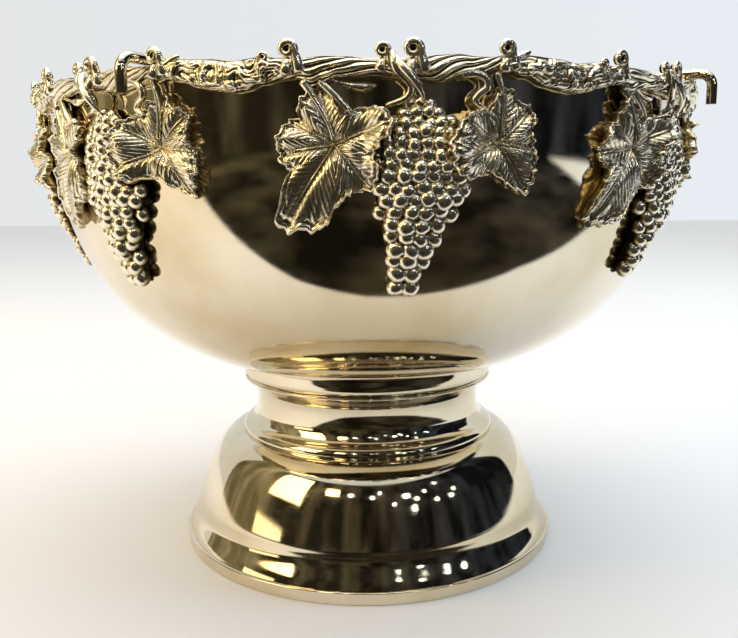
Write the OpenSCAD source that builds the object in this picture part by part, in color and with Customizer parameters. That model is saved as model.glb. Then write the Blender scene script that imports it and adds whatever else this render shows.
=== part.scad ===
// Footed champagne bowl in silver-plated brass, with a cast vine border round its rim,
// grape bunches and leaves on its side, and a lift-out rod rack that keeps the bottles apart.
// Frame: +Z up, origin at the centre of the foot's underside, -Y the front. Millimetres.

/* [Bowl] */
// Outer radius of the bowl at its rim
bowl_r = 182; // [170:1:195]
// Depth of the bowl from its edge to its underside
bowl_deep = 160.5; // [150:0.5:170]
// Height of the bowl's edge above the table
edge_z = 264; // [260:1:270]
// Fullness of the bowl's side: 2 is an ellipse, more is squarer
fullness = 2.5; // [2.3:0.05:2.7]
// Thickness of the spun sheet
sheet = 1.6; // [1.2:0.1:2]
// Radius of the wire round the rim
rim_wire_r = 2.4; // [2:0.1:3]

/* [Foot] */
// Outer radius of the foot where it stands
foot_r = 116.8; // [110:0.2:122]
// Height of the heavy ring under the foot
foot_ring_h = 7.2; // [5:0.2:9]
// Widest radius of the domed part
dome_r = 108; // [104:0.5:110]
// Height of the dome's shoulder
dome_top_z = 65; // [63:0.5:67]
// Radius of the neck
neck_r = 70; // [66:0.5:74]
// Radius of the flared collar that carries the bowl
collar_r = 78.5; // [76:0.5:82]

/* [Grapes and vine] */
// Number of grape clusters round the bowl
clusters = 8; // [4:1:8]
// Angle of the first cluster, to the right of the front
first_cluster = 5.3; // [0:0.1:20]
// Height of the vine's top edge
vine_top_z = 269; // [268.6:0.1:270]
// Outer radius of the vine
vine_r = 190; // [188:0.5:192]
// Solder film behind each casting
film = 0.35; // [0.3:0.05:0.5]

/* [Bottle rack] */
// Radius of the rack's rods
rod_r = 2.5; // [2:0.1:3]
// Angle of the first rod, to the right of the front
rack_turn = 60; // [40:1:70]
// Radius at which the hooks' legs hang outside the rim
hook_leg_r = 198.5; // [196:0.5:204]
// Height of the hooks' cut ends
hook_end_z = 257; // [254:0.5:262]
// Height of the rack's floor rods
rack_z = 226; // [200:1:236]

/* [Hidden] */
CLUSTER_NODES = ["vine_border", "grape_bunch", "leaf_left", "leaf_right", "bunch_stem"];

silver = [0.80, 0.77, 0.70];
cast_silver = [0.66, 0.62, 0.53];
brass = [0.72, 0.60, 0.38];
steel = [0.55, 0.55, 0.56];

steps = 34;              // bands in a long curve of a turned section
sector = 360 / clusters;
wrap_r = 184;            // radius at which a casting's width is measured

// Outer surface of the bowl: height at a radius, and radius at a height
function bowl_z(r) = edge_z - bowl_deep * pow(1 - pow(r / bowl_r, fullness), 1 / fullness);
function bowl_rad(z) =
    let (t = min(1, max(0, (edge_z - z) / bowl_deep)))
    bowl_r * pow(max(0, 1 - pow(t, fullness)), 1 / fullness);

// A superellipse quarter from its widest point down (side -1) or up (side 1) to its pole
function quarter(a, b, e, zc, side) =
    [for (i = [0 : steps])
        let (t = 90 * i / steps)
        [a * pow(cos(t), 2 / e), zc + side * b * pow(sin(t), 2 / e)]];

// An elliptical arc about [r, z] with half-axes a and b, from angle t0 to t1
function arc(r, z, a, b, t0, t1, n) =
    [for (i = [0 : n]) let (t = t0 + (t1 - t0) * i / n) [r + a * cos(t), z + b * sin(t)]];

// The same outline moved sideways by d, to give sheet metal its thickness
function moved(path, d) =
    [for (i = [0 : len(path) - 1])
        let (a = path[max(0, i - 1)], b = path[min(len(path) - 1, i + 1)], run = b - a)
        path[i] + d * [-run[1], run[0]] / norm(run)];

function backwards(list) = [for (i = [len(list) - 1 : -1 : 0]) list[i]];
function smooth(t) = t * t * (3 - 2 * t);

// A point on a casting: u round the bowl, z up, h out from the bowl's side
function on_bowl(u, z, h) =
    let (turn = u / wrap_r * 180 / PI, r = bowl_rad(z) + h)
    [r * sin(turn), -r * cos(turn), z];

// Value at x in a list of [x, value] pairs, eased from one pair to the next
function eased(table, x, i = 0) =
    i >= len(table) - 1 ? table[len(table) - 1][1] :
    x <= table[i + 1][0] ?
        table[i][1] + (table[i + 1][1] - table[i][1])
            * smooth(max(0, (x - table[i][0]) / (table[i + 1][0] - table[i][0]))) :
    eased(table, x, i + 1);

function middle(loop) = [for (p = loop) 1] * loop / len(loop);

// Closed skin over a row of loops with the same number of points
module skin(loops) {
    n = len(loops[0]);
    m = len(loops);
    last = n * m;
    points = concat([for (loop = loops) each loop], [middle(loops[0]), middle(loops[m - 1])]);
    sides = [for (j = [0 : m - 2], i = [0 : n - 1])
        let (a = j * n + i, b = j * n + (i + 1) % n)
        each [[a, a + n, b], [b, a + n, b + n]]];
    first_cap = [for (i = [0 : n - 1]) [i, (i + 1) % n, last]];
    last_cap = [for (i = [0 : n - 1]) [(m - 1) * n + (i + 1) % n, (m - 1) * n + i, last + 1]];
    polyhedron(points, concat(sides, first_cap, last_cap));
}

// Round bar of radius r[i] swept along the points of a path
module bar(path, radii, sides = 8) {
    m = len(path);
    skin([for (i = [0 : m - 1])
        let (run = path[min(m - 1, i + 1)] - path[max(0, i - 1)],
             ahead = run / norm(run),
             side_raw = cross(ahead, abs(ahead[2]) > 0.9 ? [0, 1, 0] : [0, 0, 1]),
             side = side_raw / norm(side_raw),
             up = cross(side, ahead))
        [for (k = [0 : sides - 1])
            let (t = 360 * k / sides)
            path[i] + radii[i] * (side * cos(t) + up * sin(t))]]);
}

// ---- Spun body ----

module bowl() {
    outer = quarter(bowl_r, bowl_deep, fullness, edge_z, -1);
    inner = quarter(bowl_r - sheet, bowl_deep - sheet, fullness, edge_z, -1);
    color(silver) rotate_extrude($fn = 144) polygon(concat(outer, backwards(inner)));
}

module rim_wire() {
    color(silver)
    translate([0, 0, edge_z + rim_wire_r + 0.1])
    rotate_extrude($fn = 144) translate([bowl_r - sheet / 2, 0]) circle(rim_wire_r, $fn = 32);
}

// Smooth curve through a few points of a turned section
function through(p, n) = concat(
    [for (i = [0 : len(p) - 2], k = [0 : n - 1])
        let (t = k / n, a = p[max(0, i - 1)], b = p[i], c = p[i + 1], d = p[min(len(p) - 1, i + 2)])
        0.5 * (2 * b + (c - a) * t + (2 * a - 5 * b + 4 * c - d) * t * t
            + (3 * b - a - 3 * c + d) * t * t * t)],
    [p[len(p) - 1]]);

// Outer outline of the foot's shell, from the ring up to the bowl
joint_gap = 0.1;         // solder film between parts of the foot
collar_gap = 0.15;
bulge = 4.8;             // radius of the half-round above the dome
crease_r = collar_r + 1.9;
shell_low = [[foot_r - 1.8, foot_ring_h + joint_gap], [foot_r - 3.3, 11], [dome_r + 1.9, 18.1],
             [dome_r + 0.6, 23]];
shell_dome = [[dome_r - 0.5, 28], [dome_r - 4.5, dome_top_z - 25.2], [dome_r - 9.2, dome_top_z - 13.7],
              [dome_r - 14.4, dome_top_z - 5.2], [dome_r - 19.5, dome_top_z - 0.4],
              [dome_r - 24, dome_top_z + 1.9], [crease_r, dome_top_z + 2.5]];
shell_neck = [[neck_r + 2.6, dome_top_z + 10.2], [neck_r + 0.7, dome_top_z + 14], [neck_r, dome_top_z + 19],
              [neck_r, 89], [neck_r + 0.6, 92.4], [neck_r + 1.7, 95.2], [collar_r - 4, 99.8],
              [collar_r - 0.6, 104.2], [collar_r, 107], [collar_r, bowl_z(collar_r) - collar_gap]];
foot_outline = concat(
    through(concat(shell_low, shell_dome), 5),
    arc(crease_r - 5.5, dome_top_z + 3.5, bulge, bulge, -12, 76, 9),
    through(shell_neck, 4));

module foot_shell() {
    inside = moved(foot_outline, sheet);
    trimmed = [for (i = [1 : len(inside) - 2]) inside[i]];
    collar_edge = [collar_r - sheet, bowl_z(collar_r - sheet) - collar_gap];
    ring_edge = [shell_low[0][0] - 1.2 * sheet, shell_low[0][1]];
    color(silver) rotate_extrude($fn = 144)
        polygon(concat(foot_outline, [collar_edge], backwards(trimmed), [ring_edge]));
}

module foot_ring() {
    edge = 0.9;
    color(silver) rotate_extrude($fn = 144) polygon([
        [foot_r - 9, 0], [foot_r - edge, 0], [foot_r, edge], [foot_r, foot_ring_h - edge],
        [foot_r - edge, foot_ring_h], [foot_r - 9, foot_ring_h]]);
}

module neck_bead() {
    wire_r = 0.85;
    color(silver) translate([0, 0, 101.2])
        rotate_extrude($fn = 144) translate([collar_r - 1.45, 0]) circle(wire_r, $fn = 24);
}

// ---- Fixing inside the foot ----

stud_r = 4;
backing_r = 22;
backing_h = 2.5;
backing_z = edge_z - bowl_deep - backing_h - 0.3;
tie_r = neck_r + 0.6;
tie_h = 2;
tie_z = dome_top_z + 7.1;
washer_h = 2;
nut_h = 8;
nut_z = tie_z - washer_h - nut_h - 2 * joint_gap;

module stud_disc() {
    color(brass) translate([0, 0, backing_z]) cylinder(h = backing_h, r = backing_r, $fn = 72);
}

module foot_stud() {
    color(brass) translate([0, 0, nut_z - 6])
        cylinder(h = backing_z - joint_gap - nut_z + 6, r = stud_r, $fn = 32);
}

// Disc that bears up inside the shoulder and pulls the foot against the bowl
module tie_disc() {
    color(brass) translate([0, 0, tie_z]) difference() {
        union() {
            cylinder(h = tie_h, r = tie_r, $fn = 96);
            cylinder(h = tie_h + 3, r = 14, $fn = 48);
        }
        translate([0, 0, -1]) cylinder(h = tie_h + 5, r = stud_r + 0.3, $fn = 32);
    }
}

module lock_washer() {
    color(steel) translate([0, 0, tie_z - washer_h - joint_gap]) difference() {
        cylinder(h = washer_h, r = 9, $fn = 48);
        translate([0, 0, -1]) cylinder(h = washer_h + 2, r = stud_r + 0.3, $fn = 32);
    }
}

module hex_nut() {
    color(brass) translate([0, 0, nut_z]) difference() {
        cylinder(h = nut_h, r = 7.5, $fn = 6);
        translate([0, 0, -1]) cylinder(h = nut_h + 2, r = stud_r + 0.05, $fn = 32);
    }
}

// ---- Castings, drawn once on the front and turned to their place ----

module at_cluster(k) {
    color(cast_silver) rotate([0, 0, first_cluster + sector * (k - 1)]) children();
}

// Curl that stands on the vine: a bar that rises, bends over to the right and ends in a knob
module tendril(u, z, size) {
    path = [for (i = [0 : 7])
        let (t = 200 - 260 * i / 7, reach = size * (1 - 0.35 * i / 7))
        on_bowl(u + reach * cos(t), z + size * 0.5 + reach * sin(t), vine_r - 3.4 - bowl_rad(edge_z))];
    bar(path, [for (i = [0 : 7]) size * (0.42 - 0.02 * i)], 6);
}

// Half-round vine along the rim, with strands that wander along it
vine_columns = 30;
vine_rows = 7;
module vine_border(k) {
    half = wrap_r * (sector / 2 - 0.12) * PI / 180;
    back_low = bowl_r + film;
    back_high = bowl_r - sheet / 2 + rim_wire_r + film;
    loops = [for (i = [0 : vine_columns])
        let (u = -half + 2 * half * i / vine_columns,
             turn = u / wrap_r * 180 / PI,
             low = 257 + 1.1 * cos(turn * 16) + 0.6 * sin(turn * 40 + 30))
        concat(
            [for (j = [0 : vine_rows])
                let (s = j / vine_rows,
                     strand = 0.7 * sin(360 * (2.4 * s + turn / 11)),
                     r = back_high + (vine_r - 1.2 - back_high) * pow(sin(18 + 144 * s), 0.6)
                         + strand * sin(180 * s))
                [r * sin(turn), -r * cos(turn), low + (vine_top_z - low) * s]],
            [for (b = [[back_high, vine_top_z], [back_high, edge_z - 0.6],
                       [back_low, edge_z - 1.4], [back_low, low]])
                [b[0] * sin(turn), -b[0] * cos(turn), b[1]]])];
    at_cluster(k) {
        skin(loops);
        tendril(-46.5, vine_top_z, 4.6);
        tendril(-10.4, vine_top_z - 0.6, 3.4);
        tendril(39.6, vine_top_z + 0.4, 3.8);
    }
}

// Hanging bunch: wide shoulders, a tail, and rows of berries pressed together
bunch_top_z = 251.5;
bunch_low_z = 171.5;
bunch_rows = 36;
bunch_columns = 14;
berry_pitch = 7.2;
bunch_half = [[0, 5], [0.14, 12], [0.3, 20.5], [0.45, 20.5], [0.62, 14.5], [0.8, 10.5], [0.93, 8.8], [1, 4]];
bunch_lean = [[0, 4], [0.25, 7.4], [0.45, 6], [0.65, 2.4], [0.85, 0.4], [1, -1.3]];
bunch_depth = [[0, 6], [0.2, 11.5], [0.6, 11], [0.9, 8.5], [1, 5]];

module grape_bunch(k) {
    loops = [for (j = [0 : bunch_rows])
        let (s = j / bunch_rows,
             z = bunch_top_z - (bunch_top_z - bunch_low_z) * s,
             half = eased(bunch_half, s),
             lean = eased(bunch_lean, s),
             deep = eased(bunch_depth, s))
        concat(
            [for (i = [0 : bunch_columns])
                let (across = 2 * i / bunch_columns - 1,
                     u = lean + half * across,
                     crown = sqrt(max(0, 1 - across * across)),
                     berry = abs(sin(180 * z / berry_pitch)
                         * cos(180 * (u / berry_pitch + 0.5 * floor(z / berry_pitch)))))
                on_bowl(u, z, 1.2 + (deep - 1.2) * pow(crown, 0.7) * (0.86 + 0.2 * berry))],
            [on_bowl(lean, z, film + 0.15)])];
    at_cluster(k) skin(loops);
}

// Five-lobed vine leaf: [angle, radius] of its tips and notches about the stalk
left_leaf = [[-70, 24], [-25, 11], [10, 12.5], [70, 13], [112, 20.4], [140, 20], [160, 26], [178, 23],
             [198, 27], [212, 22.5], [232, 45], [258, 27], [275, 23], [290, 24]];
right_leaf = [[-55, 27.5], [-15, 12], [34, 20], [56, 14], [79, 18.6], [110, 12.5], [150, 9.5], [190, 8.8],
              [215, 10], [244, 16], [275, 14.5], [305, 27.5]];

module leaf(hub, outline) {
    spokes = 42;
    first = outline[0][0];
    function rim(t) = eased(outline, t < first ? t + 360 : t);
    function ring(part, h) = [for (i = [0 : spokes - 1])
        let (t = first + 360 * i / spokes, r = rim(t) * part)
        on_bowl(hub[0] + r * cos(t), hub[1] + r * sin(t),
                h + (part > 0.2 && h > 2 ? 0.8 * cos(5 * (t - 20)) * part : 0))];
    skin([ring(0.05, film + 0.2), ring(0.55, film + 0.1), ring(1, film), ring(1, 1.9),
          ring(0.8, 4.2), ring(0.45, 3.4), ring(0.05, 2.2)]);
}

module leaf_left(k) { at_cluster(k) leaf([-27.6, 236], left_leaf); }
module leaf_right(k) { at_cluster(k) leaf([39.6, 236.8], right_leaf); }

// Smooth stalk: curls over on the rim and runs down to the top of the bunch, [u, z, r]
stem_path = [[3.2, 273.4, 186.6], [1.8, 276.2, 187.2], [-1.2, 276.4, 188.4], [-3, 273.8, 190.2],
             [-2.4, 270.2, 192.8], [-1, 265.8, 193.4], [1, 261.4, 193.4], [3.2, 257.2, 193],
             [5, 253.8, 192.2]];
stem_radii = [1.5, 2, 2.2, 2.3, 2.4, 2.5, 2.6, 2.8, 3];
module bunch_stem(k) {
    at_cluster(k) bar([for (p = stem_path)
        let (turn = p[0] / wrap_r * 180 / PI)
        [p[2] * sin(turn), -p[2] * cos(turn), p[1]]], stem_radii, 10);
}

// ---- Lift-out rack ----

bend = 6;                // bends of the rods, measured to their middle
crown_z = vine_top_z + 0.4 + rod_r;
drop_r = bowl_r - 13;    // radius at which a rod goes down inside the bowl
boss_h = 3;
braze = 0.1;             // film between the boss and the rods

// One end of a rod in the XZ plane: along the floor, up, over the rim and down outside
module rod_end(floor_z) {
    translate([0, 0, floor_z]) rotate([0, 90, 0]) cylinder(h = drop_r - bend, r = rod_r, $fn = 32);
    corner([drop_r - bend, floor_z + bend], -90);
    translate([drop_r, 0, floor_z + bend])
        cylinder(h = crown_z - floor_z - 2 * bend, r = rod_r, $fn = 32);
    corner([drop_r + bend, crown_z - bend], 90);
    translate([drop_r + bend, 0, crown_z]) rotate([0, 90, 0])
        cylinder(h = hook_leg_r - drop_r - 2 * bend, r = rod_r, $fn = 32);
    corner([hook_leg_r - bend, crown_z - bend], 0);
    translate([hook_leg_r, 0, hook_end_z])
        cylinder(h = crown_z - bend - hook_end_z, r = rod_r, $fn = 32);
}

// Quarter bend about [x, z], starting at an angle
module corner(at, start) {
    translate([at[0], 0, at[1]]) rotate([90, 0, 0]) rotate([0, 0, start])
        rotate_extrude(angle = 90, $fn = 48) translate([bend, 0]) circle(rod_r, $fn = 32);
}

module rod(turn, floor_z) {
    color(silver) rotate([0, 0, turn]) union() {
        rod_end(floor_z);
        rotate([0, 0, 180]) rod_end(floor_z);
    }
}

module rack_rod_lower() { rod(rack_turn - 90, rack_z); }
module rack_rod_upper() { rod(rack_turn, rack_z + 2 * (rod_r + braze) + boss_h); }

// Disc brazed between the rods where they cross
module rack_boss() {
    color(silver) translate([0, 0, rack_z + rod_r + braze])
        cylinder(h = boss_h, r = 8, $fn = 48);
}

bowl();
rim_wire();
foot_shell();
foot_ring();
neck_bead();
stud_disc();
foot_stud();
tie_disc();
lock_washer();
hex_nut();
rack_rod_lower();
rack_rod_upper();
rack_boss();
for (k = [1 : clusters]) {
    vine_border(k);
    grape_bunch(k);
    leaf_left(k);
    leaf_right(k);
    bunch_stem(k);
}
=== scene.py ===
import math
import random

import bmesh
import bpy
import numpy as np
from mathutils import Euler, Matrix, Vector


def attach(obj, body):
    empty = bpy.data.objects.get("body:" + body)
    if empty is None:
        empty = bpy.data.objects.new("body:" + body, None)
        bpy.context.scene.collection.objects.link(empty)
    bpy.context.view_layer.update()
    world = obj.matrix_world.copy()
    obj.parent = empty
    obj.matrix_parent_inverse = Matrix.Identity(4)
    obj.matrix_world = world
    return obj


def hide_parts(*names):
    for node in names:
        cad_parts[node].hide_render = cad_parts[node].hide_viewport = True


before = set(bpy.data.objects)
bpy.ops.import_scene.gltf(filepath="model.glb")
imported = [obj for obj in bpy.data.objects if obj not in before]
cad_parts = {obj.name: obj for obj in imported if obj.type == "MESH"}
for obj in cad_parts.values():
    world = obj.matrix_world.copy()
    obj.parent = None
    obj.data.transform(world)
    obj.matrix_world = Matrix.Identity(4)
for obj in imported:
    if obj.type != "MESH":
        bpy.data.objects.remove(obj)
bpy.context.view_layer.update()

MM = 0.001
CLUSTERS = 8
SECTOR = 360 / CLUSTERS
FIRST_CLUSTER = 5.3          # degrees to the right of the front
WRAP_R = 184                 # radius at which a casting's width is measured, mm
PERIOD = WRAP_R * math.radians(SECTOR)

# The spun bowl: rim radius, depth, edge height, fullness of its side, sheet (mm)
BOWL_R, BOWL_DEEP, EDGE_Z, FULLNESS, SHEET = 182.0, 160.5, 264.0, 2.5, 1.6


# ---------------------------------------------------------------- shapes shared by the pieces

def bowl_radius(z):
    t = np.clip((EDGE_Z - np.asarray(z, float)) / BOWL_DEEP, 0, 1)
    return BOWL_R * (1 - t ** FULLNESS) ** (1 / FULLNESS)


def around(u, z, r, turn):
    """Points at arc length u, height z and radius r, for a casting at an angle turn (mm in, m out)."""
    a = np.radians(turn) + np.asarray(u, float) / WRAP_R
    z = np.broadcast_to(np.asarray(z, float), a.shape)
    return np.stack([r * np.sin(a), -r * np.cos(a), z], -1) * MM


def on_bowl(u, z, h, turn):
    return around(u, z, bowl_radius(z) + h, turn)


def eased(table, x, period=None):
    """Smooth value at x from a short table of (x, value)."""
    xs = np.array([p[0] for p in table], float)
    ys = np.array([p[1] for p in table], float)
    if period:
        xs = np.concatenate([xs - period, xs, xs + period])
        ys = np.tile(ys, 3)
    x = np.asarray(x, float)
    i = np.clip(np.searchsorted(xs, x, "right") - 1, 0, len(xs) - 2)
    t = np.clip((x - xs[i]) / (xs[i + 1] - xs[i]), 0, 1)
    return ys[i] + (ys[i + 1] - ys[i]) * t * t * (3 - 2 * t)


def step(lo, hi, x):
    t = np.clip((np.asarray(x, float) - lo) / (hi - lo), 0, 1)
    return t * t * (3 - 2 * t)


def ridge(x):
    """Repeating rounded ridge with a sharp furrow at whole numbers, 0 to 1."""
    return np.abs(np.sin(np.pi * np.asarray(x, float))) ** 0.7


def grain(x, y, seed):
    """Cheap smooth noise, about -1 to 1, from a few crossed waves."""
    rnd = random.Random(seed)
    total, size = np.zeros(np.broadcast(x, y).shape), 1.0
    for octave in range(3):
        for _ in range(4):
            a, p = rnd.uniform(0, math.tau), rnd.uniform(0, math.tau)
            f = 2 ** octave * rnd.uniform(0.7, 1.4)
            total = total + size * np.sin(f * (x * math.cos(a) + y * math.sin(a)) + p
                                          + 1.3 * np.sin(f * 0.6 * (y * math.cos(a) - x * math.sin(a))))
        size *= 0.55
    return total / 5


def furrow(h, reach):
    """How far each point of a height field lies below its surroundings: 0 proud to 1 sunk."""
    soft = h.copy()
    for _ in range(reach):
        pad = np.pad(soft, 1, mode="edge")
        soft = (pad[:-2, 1:-1] + pad[2:, 1:-1] + pad[1:-1, :-2] + pad[1:-1, 2:] + pad[1:-1, 1:-1]) / 5
    return np.clip(0.42 + (soft - h) * 2.6, 0, 1)


class Casting:
    """Collects vertices, faces and the depth of oxide and painted shade of one piece, then makes its mesh."""

    def __init__(self):
        self.points, self.faces, self.dark, self.count = [], [], [], 0

    def add(self, points, faces, dark):
        points = np.asarray(points, float).reshape(-1, 3)
        self.faces += [tuple(i + self.count for i in f) for f in faces]
        self.points.append(points)
        self.dark.append(np.broadcast_to(np.asarray(dark, float).ravel(), (len(points),)))
        self.count += len(points)

    def grid(self, points, dark, wrap=False):
        """Rows by columns of points; wrap joins the last column to the first."""
        rows, cols = points.shape[:2]
        last = cols if wrap else cols - 1
        faces = [(r * cols + c, r * cols + (c + 1) % cols,
                  (r + 1) * cols + (c + 1) % cols, (r + 1) * cols + c)
                 for r in range(rows - 1) for c in range(last)]
        self.add(points, faces, dark)

    def tube(self, path, radii, dark, sides=12):
        """Round bar along a path (m) with radii (mm), rounded shut at both ends."""
        path, radii = np.asarray(path, float), np.asarray(radii, float) * MM
        ahead = np.gradient(path, axis=0)
        ahead /= np.linalg.norm(ahead, axis=1)[:, None]
        # square to a slant that no bar starts along, then carried along the bar without twist
        side = np.cross(ahead[0], [0.31, 0.22, 0.93])
        sides_out = []
        for d in ahead:
            side = side - d * np.dot(side, d)
            side /= np.linalg.norm(side)
            sides_out.append(side)
        side = np.array(sides_out)
        up = np.cross(ahead, side)
        t = np.linspace(0, math.tau, sides, endpoint=False)
        rings = (path[:, None] + radii[:, None, None]
                 * (side[:, None] * np.cos(t)[None, :, None] + up[:, None] * np.sin(t)[None, :, None]))
        start = self.count
        dark = np.broadcast_to(np.asarray(dark, float), (len(path),))
        self.grid(rings, np.repeat(dark, sides), wrap=True)
        n = len(path)
        first = self.count
        ends = np.array([path[0] - ahead[0] * radii[0] * 0.5, path[-1] + ahead[-1] * radii[-1] * 0.5])
        self.points.append(ends)
        self.dark.append(np.array([dark[0], dark[-1]]))
        self.count += 2
        for i in range(sides):
            j = (i + 1) % sides
            self.faces.append((start + j, start + i, first))
            self.faces.append((start + (n - 1) * sides + i, start + (n - 1) * sides + j, first + 1))

    def make(self, name, material, nodes, body="vessel", slot_name="cast_plate"):
        mesh = bpy.data.meshes.new(name)
        mesh.from_pydata(np.concatenate(self.points).tolist(), [], self.faces)
        mesh.validate()
        # each point's darkness: oxide in the hollows, with painted shade laid into the same recesses
        layer = mesh.attributes.new("oxide", "FLOAT", "POINT")
        layer.data.foreach_set("value", np.concatenate(self.dark).astype(np.float32))
        # weld the seams between front, edge and back, and turn every face outward
        shaped = bmesh.new()
        shaped.from_mesh(mesh)
        bmesh.ops.remove_doubles(shaped, verts=shaped.verts, dist=1e-6)
        bmesh.ops.recalc_face_normals(shaped, faces=shaped.faces)
        shaped.to_mesh(mesh)
        shaped.free()
        mesh.shade_smooth()
        mesh.materials.append(material)
        piece = bpy.data.objects.new(name, mesh)
        bpy.context.collection.objects.link(piece)
        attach(piece, body)
        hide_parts(*nodes)
        return piece


# ---------------------------------------------------------------- finishes

def linear(colour):
    """sRGB hex to the linear colour that shaders work in."""
    values = [int(colour[i:i + 2], 16) / 255 for i in (1, 3, 5)]
    return tuple(v / 12.92 if v <= 0.04045 else ((v + 0.055) / 1.055) ** 2.4 for v in values) + (1,)


def part(tree, kind, settings=None, **links):
    """Adds a node, sets its sockets, properties and colour stops, and links sockets by name or number."""
    new = tree.nodes.new(kind)
    for key, value in (settings or {}).items():
        if key == "stops":
            ends = new.color_ramp.elements
            for end, (where, colour) in ((ends[0], value[0]), (ends[-1], value[-1])):
                end.position, end.color = where, linear(colour)
            for where, colour in value[1:-1]:
                ends.new(where).color = linear(colour)
        elif isinstance(key, int) or key in new.inputs:
            new.inputs[key].default_value = value
        else:
            setattr(new, key, value)
    for key, source in links.items():
        key = int(key[1:]) if key[0] == "i" and key[1:].isdigit() else key.replace("_", " ")
        tree.links.new(source, new.inputs[key])
    return new


def start_metal(name):
    material = bpy.data.materials.new(name)
    material.use_nodes = True
    tree = material.node_tree
    tree.nodes.clear()
    shader = part(tree, "ShaderNodeBsdfPrincipled", {"Metallic": 1.0})
    out = part(tree, "ShaderNodeOutputMaterial")
    tree.links.new(shader.outputs[0], out.inputs[0])
    place = part(tree, "ShaderNodeTexCoord").outputs["Object"]
    return material, tree, shader, place


def polished_silver_plate(name="polished_silver_plate", clean="#E8DEC8", aged="#CDBB90"):
    """Buffed silver plate: a near mirror, warmed in broad clouds where it has begun to tarnish,
    with the faint wipe marks and fine hairlines that polishing leaves."""
    material, tree, shader, place = start_metal(name)
    # clouds of tarnish about 90 mm across
    clouds = part(tree, "ShaderNodeTexNoise", {"Scale": 11.0, "Detail": 4.0, "Roughness": 0.6}, Vector=place)
    tint = part(tree, "ShaderNodeValToRGB", {"stops": [(0.38, clean), (0.74, aged)]}, i0=clouds.outputs[0])
    # wipe marks about 17 mm long and 3 mm apart, and hairlines about 1.1 mm long and 0.2 mm apart,
    # six times as long as they are wide because they follow the turning of the bowl
    long_way = part(tree, "ShaderNodeMapping", {"Scale": (1.0, 1.0, 6.0)}, Vector=place)
    wipes = part(tree, "ShaderNodeTexNoise", {"Scale": 60.0, "Detail": 6.0, "Roughness": 0.7},
                 Vector=long_way.outputs[0])
    hairlines = part(tree, "ShaderNodeTexNoise", {"Scale": 900.0, "Detail": 2.0}, Vector=long_way.outputs[0])
    rough = part(tree, "ShaderNodeMapRange", {"From Min": 0.35, "From Max": 0.75, "To Min": 0.035,
                                              "To Max": 0.12}, Value=wipes.outputs[0])
    bump = part(tree, "ShaderNodeBump", {"Strength": 0.025, "Distance": 0.0002}, Height=hairlines.outputs[0])
    tree.links.new(tint.outputs[0], shader.inputs["Base Color"])
    tree.links.new(rough.outputs[0], shader.inputs["Roughness"])
    tree.links.new(bump.outputs[0], shader.inputs["Normal"])
    return material


def oxidised_and_shaded_cast_plate():
    """Silver-plated casting: wiped bright on its high points, with brown-black oxide and painted shade
    in the furrows and between the berries, and the fine pitted skin of a sand casting."""
    material, tree, shader, place = start_metal("oxidised_and_shaded_cast_plate")
    depth = part(tree, "ShaderNodeAttribute", {"attribute_name": "oxide"}).outputs["Fac"]
    # patches of wear about 11 mm across
    clouds = part(tree, "ShaderNodeTexNoise", {"Scale": 90.0, "Detail": 5.0, "Roughness": 0.65}, Vector=place)
    patchy = part(tree, "ShaderNodeMath", {"operation": "MULTIPLY_ADD", 1: 0.5, 2: -0.25},
                  i0=clouds.outputs[0])
    oxide_shade_and_wear = part(tree, "ShaderNodeMath", {"operation": "ADD"}, i0=depth, i1=patchy.outputs[0])
    # plate colour through oxide brown to near black, where the oxide is darkened further by painted shade
    tone = part(tree, "ShaderNodeValToRGB", {"stops": [(0.30, "#F5EDD8"), (0.52, "#D3C49B"),
                                                       (0.72, "#85754F"), (0.94, "#2B2418")]},
                i0=oxide_shade_and_wear.outputs[0])
    rough = part(tree, "ShaderNodeMapRange", {"From Min": 0.3, "From Max": 0.95, "To Min": 0.23,
                                              "To Max": 0.46}, Value=oxide_shade_and_wear.outputs[0])
    # pits about 0.7 mm across
    pits = part(tree, "ShaderNodeTexNoise", {"Scale": 1400.0, "Detail": 2.0}, Vector=place)
    bump = part(tree, "ShaderNodeBump", {"Strength": 0.10, "Distance": 0.0003}, Height=pits.outputs[0])
    tree.links.new(tone.outputs[0], shader.inputs["Base Color"])
    tree.links.new(rough.outputs[0], shader.inputs["Roughness"])
    tree.links.new(bump.outputs[0], shader.inputs["Normal"])
    return material


def dull_brass():
    """Turned brass left bare inside the foot: yellow-brown, dulled, with turning lines."""
    material, tree, shader, place = start_metal("dull_unplated_brass")
    clouds = part(tree, "ShaderNodeTexNoise", {"Scale": 60.0, "Detail": 5.0}, Vector=place)
    lines = part(tree, "ShaderNodeTexWave", {"wave_type": "RINGS", "rings_direction": "Z", "Scale": 320.0,
                                             "Distortion": 0.6}, Vector=place)
    tone = part(tree, "ShaderNodeValToRGB", {"stops": [(0.35, "#B98F4E"), (0.70, "#7C5F35")]},
                i0=clouds.outputs[0])
    rough = part(tree, "ShaderNodeMapRange", {"From Min": 0.3, "From Max": 0.7, "To Min": 0.28,
                                              "To Max": 0.45}, Value=clouds.outputs[0])
    bump = part(tree, "ShaderNodeBump", {"Strength": 0.15, "Distance": 0.0002}, Height=lines.outputs[0])
    tree.links.new(tone.outputs[0], shader.inputs["Base Color"])
    tree.links.new(rough.outputs[0], shader.inputs["Roughness"])
    tree.links.new(bump.outputs[0], shader.inputs["Normal"])
    return material


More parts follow.
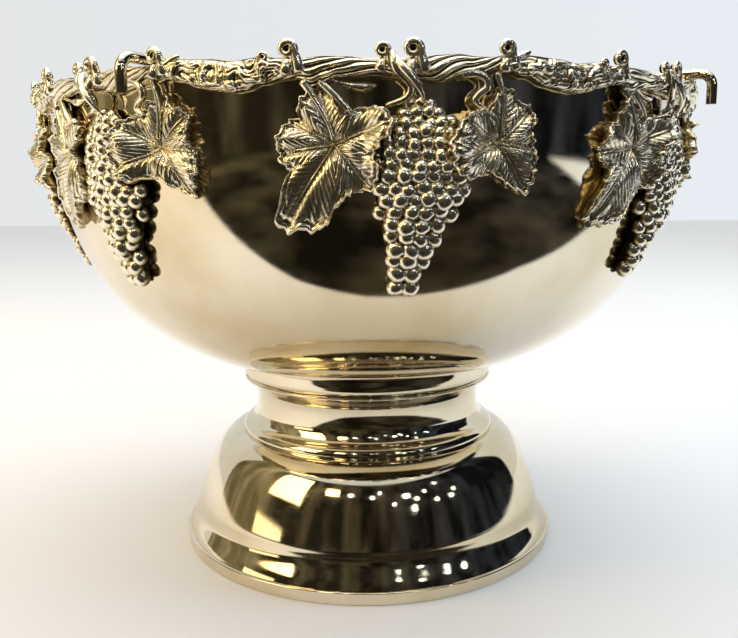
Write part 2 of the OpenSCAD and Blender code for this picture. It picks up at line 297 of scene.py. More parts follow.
def plain_steel():
    """Cold-rolled steel washer: grey, satin, slightly mottled."""
    material, tree, shader, place = start_metal("plain_steel")
    clouds = part(tree, "ShaderNodeTexNoise", {"Scale": 150.0, "Detail": 5.0}, Vector=place)
    tone = part(tree, "ShaderNodeValToRGB", {"stops": [(0.35, "#A9A9AB"), (0.70, "#77777A")]},
                i0=clouds.outputs[0])
    rough = part(tree, "ShaderNodeMapRange", {"From Min": 0.3, "From Max": 0.7, "To Min": 0.3,
                                              "To Max": 0.45}, Value=clouds.outputs[0])
    tree.links.new(tone.outputs[0], shader.inputs["Base Color"])
    tree.links.new(rough.outputs[0], shader.inputs["Roughness"])
    return material


silver = polished_silver_plate()
rod_silver = polished_silver_plate("polished_rod_plate", "#EFE8D8", "#CBB88E")
cast = oxidised_and_shaded_cast_plate()
brass = dull_brass()
steel = plain_steel()


# ---------------------------------------------------------------- spun bowl and foot

def through(points, n):
    """Smooth curve through the points of a turned section."""
    p = np.array(points, float)
    out = []
    for i in range(len(p) - 1):
        a, b, c, d = p[max(i - 1, 0)], p[i], p[i + 1], p[min(i + 2, len(p) - 1)]
        for k in range(n):
            t = k / n
            out.append(0.5 * (2 * b + (c - a) * t + (2 * a - 5 * b + 4 * c - d) * t * t
                              + (3 * b - a - 3 * c + d) * t ** 3))
    return out + [p[-1]]


def arc(r, z, radius, t0, t1, n=16):
    """Round stretch of a section about (r, z), between two angles in degrees."""
    return [(r + radius * math.cos(math.radians(t)), z + radius * math.sin(math.radians(t)))
            for t in np.linspace(t0, t1, n)]


def inward(path, d):
    """Section moved sideways by d, for the other face of the sheet."""
    p = np.array(path, float)
    run = np.gradient(p, axis=0)
    run /= np.linalg.norm(run, axis=1)[:, None]
    return p + d * np.stack([-run[:, 1], run[:, 0]], -1)


def turned(name, outline, material, nodes):
    """Turned piece from an outline of (radius, height) in mm: a closed loop, or a line from one
    point on the axis to another."""
    segments = 288
    outline = np.array(outline, float)
    poles = outline[0, 0] == 0
    rings = outline[1:-1] if poles else outline
    t = np.linspace(0, math.tau, segments, endpoint=False)
    points = np.stack([rings[:, 0, None] * np.sin(t), -rings[:, 0, None] * np.cos(t),
                       np.broadcast_to(rings[:, 1, None], (len(rings), segments))], -1).reshape(-1, 3)
    count = len(rings)
    following = np.roll(np.arange(segments), -1)
    faces = [(r * segments + c, r * segments + d,
              (r + 1) % count * segments + d, (r + 1) % count * segments + c)
             for r in range(count - 1 if poles else count) for c, d in enumerate(following)]
    if poles:
        points = np.concatenate([points, [(0, 0, outline[0, 1]), (0, 0, outline[-1, 1])]])
        pole, last = count * segments, (count - 1) * segments
        faces += [(pole, d, c) for c, d in enumerate(following)]
        faces += [(pole + 1, last + c, last + d) for c, d in enumerate(following)]
    mesh = bpy.data.meshes.new(name)
    mesh.from_pydata((points * MM).tolist(), [], faces)
    mesh.shade_smooth()
    mesh.set_sharp_from_angle(angle=math.radians(40))
    mesh.materials.append(material)
    piece = bpy.data.objects.new(name, mesh)
    bpy.context.collection.objects.link(piece)
    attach(piece, "vessel")
    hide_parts(*nodes)


def bowl_section(r, deep):
    """Section of the bowl, from its edge down to the axis."""
    t = np.linspace(0, math.pi / 2, 105)[:-1]
    radii = r * np.cos(t) ** (2 / FULLNESS)
    heights = EDGE_Z - deep * np.sin(t) ** (2 / FULLNESS)
    return list(zip(radii, heights)) + [(0, EDGE_Z - deep)]


outside = bowl_section(BOWL_R, BOWL_DEEP)
inside = bowl_section(BOWL_R - SHEET, BOWL_DEEP - SHEET)
turned("spun_bowl", outside[::-1] + inside, silver, ["bowl"])

# Foot: (radius, height) of its section
shell_line = (through([(115, 7.3), (113.5, 11), (109.9, 18.1), (108.6, 23), (107.5, 28), (103.5, 39.8),
                       (98.8, 51.3), (93.6, 59.8), (88.5, 64.6), (84, 66.9), (80.4, 67.5)], 7)
              + arc(74.9, 68.5, 4.8, -12, 76)
              + through([(72.6, 75.2), (70.7, 79), (70, 84), (70, 89), (70.6, 92.4), (71.7, 95.2),
                         (74.5, 99.8), (77.9, 104.2), (78.5, 107), (78.5, 111.4)], 7))
shell_inside = [(113.1, 7.3)] + [tuple(p) for p in inward(shell_line, SHEET)][1:-3]
turned("spun_foot", shell_line + [(76.9, 111.1)] + shell_inside[::-1], silver, ["foot_shell"])
ring_line = (arc(115.9, 0.9, 0.9, -90, 0, 6) + arc(115.9, 6.3, 0.9, 0, 90, 6) + [(107.8, 7.2), (107.8, 0)])
turned("foot_ring_rounded", ring_line, silver, ["foot_ring"])


# ---------------------------------------------------------------- castings

# Radius of the vine at its edges and its crown, and the most that its bark may reach (mm)
VINE_EDGE_R, VINE_CROWN_R, VINE_MOST_R = 182.6, 187.6, 190.6
# Heights of the vine's lower and upper edges, round one eighth of the rim (mm)
VINE_LOW = [(-70, 256.4), (-64, 256.9), (-58, 258.8), (-50, 260.6), (-43, 260.6), (-37, 257.6), (-32, 259),
            (-27, 260.3), (-19, 261), (-5, 260.3), (2, 259.6), (12, 258.8), (18, 260), (24, 261.2),
            (29, 262.4), (36, 263.6), (42, 263.2), (50, 261.3), (60, 258.6), (69, 256.6)]
VINE_TOP = [(-70, 268.2), (-58, 269.3), (-50, 268.6), (-42, 268.2), (-34, 268.9), (-24, 268.6),
            (-15, 267.4), (-7, 267.1), (6, 268.3), (12, 269.2), (20, 269.8), (27, 269.0), (34, 268.9),
            (41, 269.9), (50, 270.2), (64, 269.5)]


def vine(k, seed):
    """Twisted vine on the rim: long bark strands beside each cluster, knotted leaf buds between."""
    turn = FIRST_CLUSTER + SECTOR * k
    made = Casting()
    cols, rows = 420, 44
    u = np.linspace(-PERIOD / 2, PERIOD / 2, cols)[None, :]
    s = np.linspace(0, 1, rows)[:, None]
    low = eased(VINE_LOW, u, PERIOD) + 0.25 * np.sin(u * math.tau * 9 / PERIOD)
    top = eased(VINE_TOP, u, PERIOD)
    phase = u * math.tau / PERIOD
    knotted = step(41, 50, np.abs(u + 2 + 3 * np.sin(5 * s)))
    # two sets of strands cross at a slant, one diving under the other, and open round the buds
    rope = 4.2 * s - 8 * u / PERIOD + 1.0 * np.sin(2 * phase + 0.6) + 0.35 * np.sin(5 * phase + 2 * s)
    under = 3.4 * s - 3 * u / PERIOD - 1.1 * np.sin(3 * phase + 1.9) + 0.3 * np.sin(7 * phase + 3 * s)
    bark = 2.2 * ridge(rope) + 0.28 * ridge(2.6 * rope + 0.4 * np.sin(7 * phase))
    under_bark = 2.1 * ridge(under) + 0.3 * ridge(2.4 * under)
    which = step(0.0, 0.18, grain(u / 17, s * 1.5, seed + 2) - 0.12)
    bark = bark * (1 - which) + under_bark * which
    bark = bark * (0.86 + 0.2 * grain(u / 9, s * 2.2, seed + 9))
    fold = grain(u / 5.2, s * 2.7, seed)
    bud = 2.6 * (1 - np.minimum(1.7 * np.abs(fold), 1)) + 0.8 * ridge(3.4 * fold + 2 * s) - 0.4
    relief = bark * (1 - knotted) + (0.35 * bark + bud) * knotted
    crown = np.sin(np.pi * (0.06 + 0.9 * s)) ** 0.55
    r = VINE_EDGE_R + (VINE_CROWN_R - VINE_EDGE_R) * crown + (relief - 0.6) * crown
    r = np.minimum(r, VINE_MOST_R)
    z = low + (top - low) * (0.5 - 0.5 * np.cos(np.pi * s))
    front = around(np.broadcast_to(u, z.shape), z, r, turn)
    # oxide and painted shade in the furrows between the strands
    dark = furrow(relief * crown, 3)
    made.grid(front, dark)
    # top and back, down behind the rim wire, evenly darkened with oxide and painted shade
    back_line = [(186.2, 0.0), (184.4, 0.4), (184.0, -1.0), (183.9, -4.5), (182.5, -6.0)]
    back = np.stack([around(u[0], top[0] + dz, br, turn) for br, dz in back_line]
                    + [around(u[0], low[0], 182.5, turn)])
    made.grid(np.concatenate([front[-1:], back, front[:1]]), 0.45)
    # ends close against the neighbours' ends, darkened with oxide and painted shade
    for edge, flip in ((0, False), (-1, True)):
        loop = np.concatenate([front[:, edge], back[:, edge]])
        face = tuple(range(len(loop)))
        made.add(loop, [face[::-1] if flip else face], 0.7)
    return made, turn


CURL_TURNS = 1.15


def spiral(made, turn, u, z, size, lean, r=188.0):
    """Tendril that rises from the vine on one side and rolls over like a ram's horn round a dark
    eye; size is its outer radius."""
    t = np.linspace(0, 1, 40)
    angle = math.radians(-25) + t * CURL_TURNS * math.tau
    reach = 0.64 * size * (1 - 0.45 * t)
    us, zs = u + lean * reach * np.cos(angle), z + reach * np.sin(angle)
    us = np.concatenate([[u + lean * size * 0.95, u + lean * size * 0.76], us])
    zs = np.concatenate([[z - size * 1.7, z - size * 0.9], zs])
    t = np.concatenate([[0, 0], t])
    rs = r + size * 0.25 * t - 0.6 * (zs < z - size * 0.8)
    bar = size * np.concatenate([[0.58, 0.46], 0.37 - 0.17 * t[2:]])
    # darker towards the eye, oxide and painted shade in the hollow of the roll
    made.tube(around(us, zs, rs, turn), bar, dark=0.08 + 0.6 * t ** 1.5, sides=16)
    # the closed back of the roll, fully darkened with oxide and painted shade, and the shoulder it stands on
    middle = np.full(3, float(u)), np.full(3, float(z))
    back_r = r + size * np.array([-0.42, -0.2, 0.0])
    made.tube(around(*middle, back_r, turn), np.full(3, size * 0.5), dark=1.0)
    foot_u = u + lean * size * np.array([-0.25, -0.1, 0.05])
    made.tube(around(foot_u, z - size * np.array([1.9, 1.3, 0.75]), r - 0.3, turn),
              size * np.array([0.66, 0.50, 0.34]), dark=0.35)


def soft_path(points, n):
    """Smooth line through the points, one row for each."""
    return np.array(through(points, n))


def twig(made, turn, points, radii, dark=0.25, n=5, sides=10):
    """Bar through (u, z, height over the bowl) points."""
    p = soft_path(points, n)
    where = np.linspace(0, 1, len(p))
    width = np.interp(where, np.linspace(0, 1, len(radii)), radii)
    made.tube(on_bowl(p[:, 0], p[:, 1], p[:, 2], turn), width, dark, sides)


def vine_piece(k):
    made, turn = vine(k, 11 + k)
    spiral(made, turn, -46.6, 271.6, 4.7, lean=1)
    spiral(made, turn, -56.4, 268.9, 2.7, lean=-1)
    spiral(made, turn, -10.2, 270.6, 3.9, lean=1)
    spiral(made, turn, 39.2, 272.2, 4.4, lean=1)
    twig(made, turn, [(43, 267.8, 4.6), (47, 270, 4.8), (50.6, 271.6, 4.4)], [2.2, 1.7, 0.7])
    # hollow beside the stalk, framed by a curling branch with a teardrop bud in it
    twig(made, turn, [(-6.6, 270, 6.8), (-6.2, 266, 8.6), (-5, 262.8, 8.2), (-2.2, 260.4, 7), (0.4, 257.6, 6),
                      (0.3, 254.4, 5.2), (-2.6, 252, 4.6), (-8, 250.2, 4)],
         [1.2, 1.5, 1.6, 1.7, 1.6, 1.5, 1.4, 1.0], 0.2)
    twig(made, turn, [(-34, 262, 4.4), (-29.5, 259.8, 3.6), (-25.5, 258.6, 2.8), (-21.5, 257.7, 2.4),
                      (-17.5, 257.3, 2.4), (-12.6, 258, 1.8)], [1.2, 0.8, 0.8, 1.8, 2.1, 0.5], 0.12)
    twig(made, turn, [(-34.5, 259.5, 3.8), (-31, 256.2, 4.4), (-27, 252.2, 4.6), (-22.8, 247.4, 4.4)],
         [1.7, 1.7, 1.6, 1.1], 0.15)
    twig(made, turn, [(-41, 259.5, 4), (-36, 252, 5), (-31.5, 243.5, 5.2), (-29.4, 237, 5.6)],
         [2.0, 1.2, 0.9, 0.8])
    # curled branch down to the right leaf
    twig(made, turn, [(21.5, 262, 4.4), (26.5, 262.4, 5), (30.8, 260.4, 5.4), (31.4, 257, 5),
                      (28.4, 254.6, 4.4), (26.9, 252.0, 4.2), (29.6, 249.4, 4.2), (33.6, 246.0, 4.6)],
         [2.0, 1.8, 1.7, 1.7, 1.7, 1.6, 1.5, 1.1], 0.2, n=9, sides=14)
    twig(made, turn, [(36, 263, 4), (38.6, 255, 4.6), (39.2, 246, 5), (38.6, 239, 5.6)], [1.5, 1.1, 1.0, 0.9])
    made.make(f"vine_border_cast_{k + 1}", cast, [f"vine_border_{k + 1}"])


def stalk_piece(k):
    """Smooth tapering stalk from between two curls down into the bunch, with the larger curl."""
    turn = FIRST_CLUSTER + SECTOR * k
    made = Casting()
    line = soft_path([(-5.6, 268.6, 188.0), (-4.6, 266.3, 190.3), (-2.9, 263.9, 191.5), (-0.6, 261.3, 192.2),
                      (1.8, 258.4, 192.2), (3.7, 255.6, 191.4), (5.0, 252.9, 189.8), (5.8, 250.6, 187.8)], 7)
    where = np.linspace(0, 1, len(line))
    width = np.interp(where, np.linspace(0, 1, 8), [1.0, 1.5, 1.8, 1.85, 1.65, 1.3, 0.95, 0.5])
    # darker towards its top, oxide and painted shade where it springs from between the curls
    made.tube(around(line[:, 0], line[:, 1], line[:, 2], turn), width, 0.02 + 0.4 * (1 - where) ** 4, 18)
    spiral(made, turn, 1.4, 271.2, 4.9, lean=1, r=188.8)
    made.make(f"bunch_stalk_{k + 1}", cast, [f"bunch_stem_{k + 1}"])


# Vine leaves: direction (degrees) and length (mm) of each tip and notch about the stalk
LEFT_LEAF = [(-73, 21), (-62, 21.6), (-50, 24.3), (-36, 21.5), (-15, 16.6), (1, 18.3), (13, 23.1), (24, 25.3),
             (36, 24), (48, 19.8), (63, 14.9), (75, 11.5), (84, 15), (94, 21), (106, 24), (120, 23),
             (132, 20.8), (143, 18.2), (152, 21.1), (165, 22.6), (179, 23.4), (194, 23.8), (208, 21.2),
             (217, 26.2), (225, 33.6), (230, 41), (236, 42.6), (246, 38), (257, 36.2), (263, 32.6),
             (269, 26.6), (277, 23), (287, 21)]
RIGHT_LEAF = [(-55, 26), (-45, 23.9), (-32, 21.2), (-16, 18.4), (3, 16.4), (21, 15.6), (33, 19.2), (46, 20.8),
              (62, 19.2), (80, 23.2), (95, 20), (113, 15.5), (129, 17.2), (148, 20), (164, 21.3), (182, 23.6),
              (195, 22.4), (209, 23.2), (224, 20.6), (237, 15.6), (255, 12.6), (271, 13.6), (285, 17.1),
              (296, 20.9), (305, 26)]
LEFT_RIBS = [-50, 22, 104, 150, 188, 236]
RIGHT_RIBS = [-56, -6, 44, 82, 150, 203]


def leaf(turn, hub, outline, ribs, over, seed):
    """Cast vine leaf: ribs fan from the stalk, fine side veins leave each one like feathers,
    the lobes are cupped and the toothed edge is frilled."""
    made = Casting()
    rings, spokes = 56, 300
    rho = np.linspace(0.02, 1, rings)[:, None]
    t = np.linspace(outline[0][0], outline[0][0] + 360, spokes, endpoint=False)[None, :]
    reach = eased(outline, t)
    teeth = 1 + 0.022 * np.sin(np.radians(t) * 31 + seed) + 0.012 * np.sin(np.radians(t) * 53 + 2 * seed)
    r = reach * teeth * rho
    # the nearest rib, the way along it and off it
    away = np.array([np.abs((t - rib + 180) % 360 - 180) for rib in ribs])
    nearest = np.array(ribs, float)[np.argmin(away, axis=0)]
    swing = np.radians((t - nearest + 180) % 360 - 180)
    along, aside = r * np.cos(swing), r * np.sin(swing)
    off = np.abs(aside)
    wobble = 0.8 * grain(r * np.cos(np.radians(t)) / 8, r * np.sin(np.radians(t)) / 8, seed)
    feather = along - off * 1.25 + 0.03 * off ** 2
    veins = ridge(feather / 2.5 + wobble)
    fine = ridge(feather / 1.2 + 2.6 * wobble)
    pucker = grain(r * np.cos(np.radians(t)) / 3.6, r * np.sin(np.radians(t)) / 3.6, seed + 4)
    rib_line = np.exp(-(aside / 0.5) ** 2) * (1 - 0.5 * rho)
    rib_ditch = np.exp(-(aside / 2.3) ** 2)
    fold = step(0, 1, off / (0.35 * reach + 1.5))
    frill = (rho ** 5 * np.sin(np.radians(t) * 16 + seed) * 0.9
             + rho ** 3 * np.sin(np.radians(t) * 7 + 1.7 * seed) * 1.2)
    roll = 1.15 * np.exp(-((rho - 0.955) / 0.028) ** 2) - 0.5 * np.exp(-((rho - 0.89) / 0.03) ** 2)
    lift = 3.6 + 2.0 * np.sin(np.pi * rho ** 0.8) + 1.3 * fold * rho
    relief = (0.38 * veins * step(0.3, 1.8, off) * step(0.03, 0.15, rho) + 0.28 * fine * step(0.05, 0.2, rho)
              + 0.45 * pucker * step(0.1, 0.3, rho) + 1.2 * rib_line - 1.6 * rib_ditch + roll)
    u = hub[0] + r * np.cos(np.radians(t))
    z = hub[1] + r * np.sin(np.radians(t))
    height = lift + relief + frill + over(u, z) - 0.8 * step(0.98, 1.0, rho)
    front = on_bowl(u, z, height, turn)
    # oxide and painted shade in the furrows, less towards the edge
    dark = furrow(relief * 1.25, 2) * (1 - 0.25 * rho)
    # rolled edge and back, darkened with oxide and painted shade towards the bowl
    under = on_bowl(u[-1:] * 0.99 + hub[0] * 0.01, z[-1:] * 0.99 + hub[1] * 0.01,
                    np.maximum(height[-1:] - 2.0, 0.5), turn)
    inner_u = hub[0] + (u[-1:] - hub[0]) * 0.55
    inner_z = hub[1] + (z[-1:] - hub[1]) * 0.55
    tuck = on_bowl(inner_u, inner_z, np.full_like(inner_u, 0.6), turn)
    shell = np.concatenate([tuck, under, front[::-1]])
    shade = np.concatenate([np.full((1, spokes), 0.95), np.full((1, spokes), 0.55), dark[::-1]])
    made.grid(shell, shade, wrap=True)
    # hub and the middle of the back
    for row, height_mm, flip in ((front[0], 4.4, False), (tuck[0], 0.6, True)):
        centre = on_bowl(np.array([hub[0]]), np.array([hub[1]]), height_mm, turn)
        fan = [(i, (i + 1) % spokes, spokes) for i in range(spokes)]
        made.add(np.concatenate([row, centre]), [f if flip else f[::-1] for f in fan], 0.6)
    return made


def leaf_pieces(k):
    turn = FIRST_CLUSTER + SECTOR * k

    def over_left(u, z):
        return 6.6 * step(-19, -9, u) * step(206, 220, z)

    def over_right(u, z):
        return 7.8 * step(33, 21, u)

    left = leaf(turn, (-29.5, 235), LEFT_LEAF, LEFT_RIBS, over_left, 3.1 + 0.7 * k)
    left.make(f"left_leaf_cast_{k + 1}", cast, [f"leaf_left_{k + 1}"])
    right = leaf(turn, (37.9, 235.2), RIGHT_LEAF, RIGHT_RIBS, over_right, 5.3 + 0.9 * k)
    right.make(f"right_leaf_cast_{k + 1}", cast, [f"leaf_right_{k + 1}"])


# Grape bunch: share of the way down, and half width, sideways lean, depth and berry radius (mm)
BUNCH_TOP, BUNCH_LOW = 252.5, 171.6
HALF = [(0, 6), (0.12, 13.5), (0.28, 20.5), (0.47, 21.0), (0.60, 15.5), (0.72, 12.0),
        (0.84, 10.4), (0.95, 8.6), (1, 7.6)]
LEAN = [(0, 5), (0.25, 7.2), (0.45, 6), (0.62, 3.2), (0.8, 1.2), (1, -0.6)]
DEPTH = [(0, 6.5), (0.2, 11.0), (0.6, 11.5), (0.85, 9.5), (1, 8.2)]
# Steps between berries and between rows, in berry radii, and the room left at the tip (mm)
BERRY_STEP, ROW_STEP, TIP_ROOM = 1.60, 1.34, 3.4
BERRY = [(0, 2.6), (0.2, 3.1), (0.42, 3.55), (0.62, 3.85), (0.85, 4.05), (1, 4.05)]


def round_berry():
    """Points and faces of a ball of radius 1."""
    rings, sides = 9, 14
    t = np.linspace(0, math.pi, rings + 1)
    p = np.linspace(0, math.tau, sides, endpoint=False)
    points = [(0, 0, 1)]
    for a in t[1:-1]:
        points += [(math.sin(a) * math.cos(b), math.sin(a) * math.sin(b), math.cos(a)) for b in p]
    points.append((0, 0, -1))
    last = len(points) - 1
    faces = [(0, 1 + i, 1 + (i + 1) % sides) for i in range(sides)]
    for r in range(rings - 2):
        a, b = 1 + r * sides, 1 + (r + 1) * sides
        faces += [(a + i, b + i, b + (i + 1) % sides, a + (i + 1) % sides) for i in range(sides)]
    a = 1 + (rings - 2) * sides
    faces += [(a + i, last, a + (i + 1) % sides) for i in range(sides)]
    return np.array(points), faces


def bunch_piece(k):
    """Hanging bunch: rows of separate berries on a dark core, small at the stalk, large at the tip."""
    turn = FIRST_CLUSTER + SECTOR * k
    rnd = random.Random(100 + k)
    made = Casting()
    # core between the berries, fully darkened with oxide and painted shade
    s = np.linspace(0, 1, 40)[:, None]
    across = np.linspace(-1, 1, 25)[None, :]
    core_z = BUNCH_TOP - 2 - (BUNCH_TOP - BUNCH_LOW - 5) * s
    half = eased(HALF, s) - 2.2
    core_u = eased(LEAN, s) + half * across
    core_h = 0.5 + (eased(DEPTH, s) * 0.58) * np.sqrt(1 - across ** 2)
    core_h[0], core_h[-1] = 0.5, 0.5
    core_z = np.broadcast_to(core_z, core_u.shape)
    core_front = on_bowl(core_u, core_z, core_h, turn)
    core_back = on_bowl(core_u, core_z, 0.45, turn)
    core = np.concatenate([core_front[:, ::-1], core_back], 1)
    made.grid(core, 1.0, wrap=True)
    end = tuple(range(core.shape[1]))
    made.add(core[0], [end], 1.0)
    made.add(core[-1], [end[::-1]], 1.0)
    # berries
    shape, faces = round_berry()
    z = BUNCH_TOP - 2.0
    row = 0
    while z > BUNCH_LOW + TIP_ROOM:
        down = (BUNCH_TOP - z) / (BUNCH_TOP - BUNCH_LOW)
        size = float(eased(BERRY, down))
        half = float(eased(HALF, down)) - size * 0.75
        lean = float(eased(LEAN, down))
        deep = float(eased(DEPTH, down))
        pitch = size * BERRY_STEP
        last = z - size * ROW_STEP < BUNCH_LOW + TIP_ROOM
        number = 2 if last else max(2, int(round(2 * half / pitch)) + 1 - row % 2)
        for i in range(number):
            x = (i - (number - 1) / 2) * pitch / half + rnd.uniform(-0.13, 0.13) * size / half
            crown = math.sqrt(max(0.0, 1 - min(1, abs(x)) ** 2.2))
            r = size * rnd.uniform(0.88, 1.1)
            h = max(r * 0.5, (deep - r) * (0.34 + 0.66 * crown) * rnd.uniform(0.84, 1.1))
            u = lean + half * x
            berry_z = z + rnd.uniform(-0.28, 0.28) * size
            a = math.radians(turn) + u / WRAP_R
            out = np.array([math.sin(a), -math.cos(a), 0.0])
            side = np.array([math.cos(a), math.sin(a), 0.0])
            lift = np.array([0.0, 0.0, 1.0])
            centre = on_bowl(np.array([u]), np.array([berry_z]), h, turn)[0]
            # each berry is a little oval and uneven, as cast
            wide, tall, slant = rnd.uniform(0.95, 1.14), rnd.uniform(0.96, 1.14), rnd.uniform(-0.14, 0.14)
            dent = 1 + 0.035 * np.sin(5 * shape[:, :1] + rnd.uniform(0, 6)) * np.cos(4 * shape[:, 2:3])
            points = centre + r * MM * dent * ((shape[:, :1] * wide + shape[:, 2:3] * slant) * side
                                               + shape[:, 1:2] * out * 0.96 + shape[:, 2:3] * lift * tall)
            # each berry darker away from its outward face: oxide and painted shade where it meets its
            # neighbours and the core
            made.add(points, faces, np.clip(0.62 - 0.62 * shape[:, 1], 0, 1))
        z -= size * ROW_STEP
        row += 1
    made.make(f"grape_bunch_cast_{k + 1}", cast, [f"grape_bunch_{k + 1}"])


for k in range(CLUSTERS):
    vine_piece(k)
    stalk_piece(k)
    leaf_pieces(k)
    bunch_piece(k)


# ---------------------------------------------------------------- rack of bent rods

# Rod radius, radii of the outer leg and the inner drop, bend radius; heights (mm)
ROD_R, LEG_R, DROP_R, BEND = 2.5, 198.5, 169.0, 6.0
CROWN_Z, LEG_MIDDLE_Z, LEG_END_Z = 271.9, 261, 257.0


def rod(name, node, turn, floor_z):
    """Bent silver-plated rod: across the bowl, up, over the rim and down, with sawn ends."""
    def corner(cx, cz, t0, t1):
        return [(cx + BEND * math.cos(math.radians(t)), cz + BEND * math.sin(math.radians(t)))
                for t in np.linspace(t0, t1, 13)]
    half = ([(x, floor_z) for x in np.linspace(0, DROP_R - BEND, 20)][:-1]
            + corner(DROP_R - BEND, floor_z + BEND, -90, 0)
            + corner(DROP_R + BEND, CROWN_Z - BEND, 180, 90)
            + corner(LEG_R - BEND, CROWN_Z - BEND, 90, 0) + [(LEG_R, LEG_MIDDLE_Z), (LEG_R, LEG_END_Z)])
    line = [(-x, z) for x, z in half[:0:-1]] + half
    a = math.radians(turn)
    path = np.array([(x * math.sin(a), -x * math.cos(a), z) for x, z in line]) * MM
    made = Casting()
    made.tube(path, np.full(len(path), ROD_R), 0.1, 32)
    # sawn flat ends instead of rounded ones
    made.points[-1][0] = path[0]
    made.points[-1][1] = path[-1]
    piece = made.make(name, rod_silver, [node], "bottle_rack", "rod_plate")
    piece.data.set_sharp_from_angle(angle=math.radians(50))


rod("rack_rod_lower_bent", "rack_rod_lower", 150, 226.0)
rod("rack_rod_upper_bent", "rack_rod_upper", 60, 234.2)

# ---------------------------------------------------------------- CAD pieces that stay

kept = {"rim_wire": silver, "neck_bead": silver, "stud_disc": brass, "foot_stud": brass, "tie_disc": brass,
        "lock_washer": steel, "hex_nut": brass, "rack_boss": rod_silver}
for node, material in kept.items():
    for slot in bpy.data.objects[node].material_slots:
        slot.material = material


# ---------------------------------------------------------------- floor, light and camera

def flat_stage(name, corners, material):
    mesh = bpy.data.meshes.new(name)
    mesh.from_pydata(corners, [], [tuple(range(len(corners)))])
    mesh.materials.append(material)
    card = bpy.data.objects.new(name, mesh)
    bpy.context.collection.objects.link(card)
    return card


def matt(name, colour):
    material = bpy.data.materials.new(name)
    material.use_nodes = True
    shader = material.node_tree.nodes["Principled BSDF"]
    shader.inputs["Base Color"].default_value = linear(colour)
    shader.inputs["Roughness"].default_value = 0.6
    return material


def glow(name, colour, strength):
    material = bpy.data.materials.new(name)
    material.use_nodes = True
    tree = material.node_tree
    tree.nodes.clear()
    light = part(tree, "ShaderNodeEmission", {"Color": linear(colour), "Strength": strength})
    part(tree, "ShaderNodeOutputMaterial", i0=light.outputs[0])
    return material


def seen_in_metal_only(card):
    card.visible_camera = False
    card.visible_diffuse = False
    card.visible_shadow = False
    card.visible_transmission = False


flat_stage("floor", [(-4, -4, 0), (4, -4, 0), (4, 4, 0), (-4, 4, 0)], matt("pale_floor", "#E8E7E4"))


def dim_room(name):
    """Dark side of the studio, olive to the left and blue-black to the right, with faint upright
    panels, which gives the metal its contrast."""
    material = bpy.data.materials.new(name)
    material.use_nodes = True
    tree = material.node_tree
    tree.nodes.clear()
    place = part(tree, "ShaderNodeTexCoord").outputs["Object"]
    tall = part(tree, "ShaderNodeMapping", {"Scale": (1.0, 1.0, 0.25)}, Vector=place)
    panels = part(tree, "ShaderNodeTexNoise", {"Scale": 3.2, "Detail": 3.0, "Roughness": 0.6},
                  Vector=tall.outputs[0])
    across = part(tree, "ShaderNodeSeparateXYZ", i0=place)
    shares = part(tree, "ShaderNodeMapRange", {"From Min": -1.7, "From Max": 1.7}, Value=across.outputs[0])
    low = part(tree, "ShaderNodeValToRGB", {"stops": [(0.0, "#7D7356"), (0.06, "#2A261B"), (0.5, "#15130E"),
                                                      (1.0, "#0D0F14")]}, i0=shares.outputs[0])
    high = part(tree, "ShaderNodeValToRGB", {"stops": [(0.0, "#CBBE98"), (0.06, "#7C7154"), (0.5, "#5A5340"),
                                                       (1.0, "#3A4252")]}, i0=shares.outputs[0])
    tones = part(tree, "ShaderNodeMapRange", {"From Min": 0.42, "From Max": 0.72}, Value=panels.outputs[0])
    mixed = part(tree, "ShaderNodeMix", {"data_type": "RGBA"}, i0=tones.outputs[0], i6=low.outputs[0],
                 i7=high.outputs[0])
    light = part(tree, "ShaderNodeEmission", {"Strength": 1.0}, Color=mixed.outputs[2])
    part(tree, "ShaderNodeOutputMaterial", i0=light.outputs[0])
    return material


room = dim_room("dim_room")
# Radii of the dim wall and of the panes in front of it, and the height the panes are aimed from (m)
WALL_R, PANE_R, PANE_LEVEL = 1.7, 1.6, 0.05
wall_turns = np.radians(np.arange(-112, 119, 4))
wall_mesh = bpy.data.meshes.new("dim_wall")
wall_points = [(WALL_R * math.sin(a), -WALL_R * math.cos(a), z) for z in (-0.05, 1.9) for a in wall_turns]
wall_mesh.from_pydata(wall_points, [],
                      [(i, i + 1, i + 1 + len(wall_turns), i + len(wall_turns))
                       for i in range(len(wall_turns) - 1)])
wall_mesh.materials.append(room)
wall = bpy.data.objects.new("dim_wall", wall_mesh)
bpy.context.collection.objects.link(wall)
seen_in_metal_only(wall)
# dark card over the pale floor that only the metal sees: a painted dark reflection of the room in front
dark_reflection_card = flat_stage("dim_floor", [(-0.56, -0.46, 0.002), (-0.22, -0.305, 0.002), (-0.1, -0.25, 0.002),
                                     (0.0, -0.224, 0.002), (0.11, -0.214, 0.002), (0.25, -0.20, 0.002),
                                     (0.75, -0.06, 0.002), (1.5, -0.9, 0.002), (0.8, -1.7, 0.002),
                                     (-0.8, -1.7, 0.002), (-1.5, -0.9, 0.002)], room)
seen_in_metal_only(dark_reflection_card)


def lit_pane(name, left, right, low, high, colour, strength):
    """Bright pane that only the metal shows, between two turns and two heights in degrees."""
    corners = [(PANE_R * math.sin(math.radians(a)), -PANE_R * math.cos(math.radians(a)),
                PANE_LEVEL + PANE_R * math.tan(math.radians(e)))
               for a, e in ((left, low), (right, low), (right, high), (left, high))]
    seen_in_metal_only(flat_stage(name, corners, glow(name, colour, strength)))


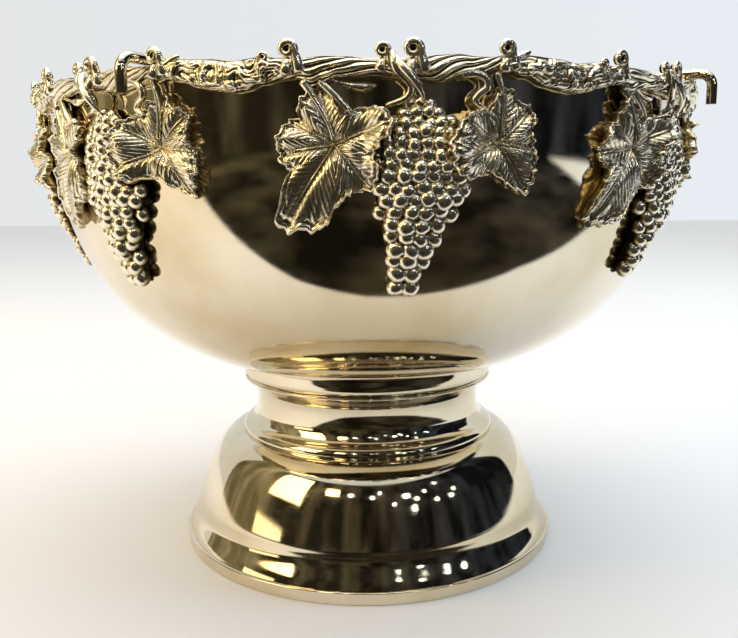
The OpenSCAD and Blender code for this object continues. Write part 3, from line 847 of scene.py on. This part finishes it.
def softbox(name, where, target, size, colour, power, shown=True):
    data = bpy.data.lights.new(name, "AREA")
    data.shape, data.size, data.size_y = "RECTANGLE", size[0], size[1]
    data.color = linear(colour)[:3]
    data.energy = power
    lamp = bpy.data.objects.new(name, data)
    lamp.location = where
    lamp.rotation_euler = (Vector(target) - Vector(where)).to_track_quat("-Z", "Y").to_euler()
    bpy.context.collection.objects.link(lamp)
    lamp.visible_camera = False
    lamp.visible_glossy = shown


softbox("overhead", (0.0, 0.3, 2.2), (0, 0, 0), (2.4, 1.6), "#FFFBF6", 19)
softbox("warm_side", (-1.7, -0.2, 0.9), (0, 0, 0.1), (0.9, 0.9), "#FFD9A2", 14, shown=False)
softbox("cool_side", (1.8, 0.1, 0.9), (0, 0, 0.1), (1.1, 1.0), "#C8DEFF", 15, shown=False)
lit_pane("warm_window_high", -72, -46, 17, 44, "#FFE6AC", 4.2)
lit_pane("ceiling_glow", -55, 45, 52, 68, "#FFF0D4", 4.5)
lit_pane("warm_lamp", -31, -22, 32, 38, "#FFE3A8", 14)
lit_pane("warm_window_low", -76, -55, 0.5, 7, "#FFE9B4", 2.2)
# turn, height above the horizon and width of each small ceiling lamp, in degrees
SMALL_LAMPS = [(-14, 33, 2.2), (2, 31, 1.6), (26, 29, 3.2), (33, 25, 1.8), (41, 31, 1.5), (17, 23, 1.4),
               (30, 18, 2.0), (47, 20, 1.6), (58, 19, 1.8), (62, 24, 1.4), (8, 36, 1.5), (52, 36, 1.6)]
for i, (turn, up, wide) in enumerate(SMALL_LAMPS):
    lit_pane(f"small_lamp_{i}", turn, turn + wide, up, up + wide, "#EEF6FF", 22)

world = bpy.data.worlds.new("pale_studio")
world.use_nodes = True
bpy.context.scene.world = world
tree = world.node_tree
tree.nodes.clear()
direction = part(tree, "ShaderNodeTexCoord").outputs["Generated"]
split = part(tree, "ShaderNodeSeparateXYZ", i0=direction)
shares = part(tree, "ShaderNodeMapRange", {"From Min": -1.0, "From Max": 1.0}, Value=split.outputs[0])
side_tint = part(tree, "ShaderNodeValToRGB",
                 {"stops": [(0.0, "#EAE7DF"), (0.45, "#E6EAEE"), (1.0, "#EFF6FD")]}, i0=shares.outputs[0])
sky = part(tree, "ShaderNodeBackground", {"Strength": 0.98}, Color=side_tint.outputs[0])
part(tree, "ShaderNodeOutputWorld", i0=sky.outputs[0])

camera_data = bpy.data.cameras.new("camera")
camera_data.sensor_width = 36.0
camera_data.lens = 40.0
camera_data.clip_start, camera_data.clip_end = 0.01, 30
camera = bpy.data.objects.new("camera", camera_data)
camera.location = (0.0, -0.51774, 0.2202)
# turned, tipped down and rolled a little (radians)
TURNED, TIPPED_DOWN, ROLLED = -0.0028, 0.1652, -0.0082
yaw = Euler((0, 0, TURNED)).to_quaternion()
tilt = Euler((math.pi / 2 - TIPPED_DOWN, 0, 0)).to_quaternion()
roll = Euler((0, 0, ROLLED)).to_quaternion()
camera.rotation_mode = "QUATERNION"
camera.rotation_quaternion = yaw @ tilt @ roll
bpy.context.collection.objects.link(camera)
bpy.context.scene.camera = camera
bpy.context.scene.view_settings.view_transform = "Standard"
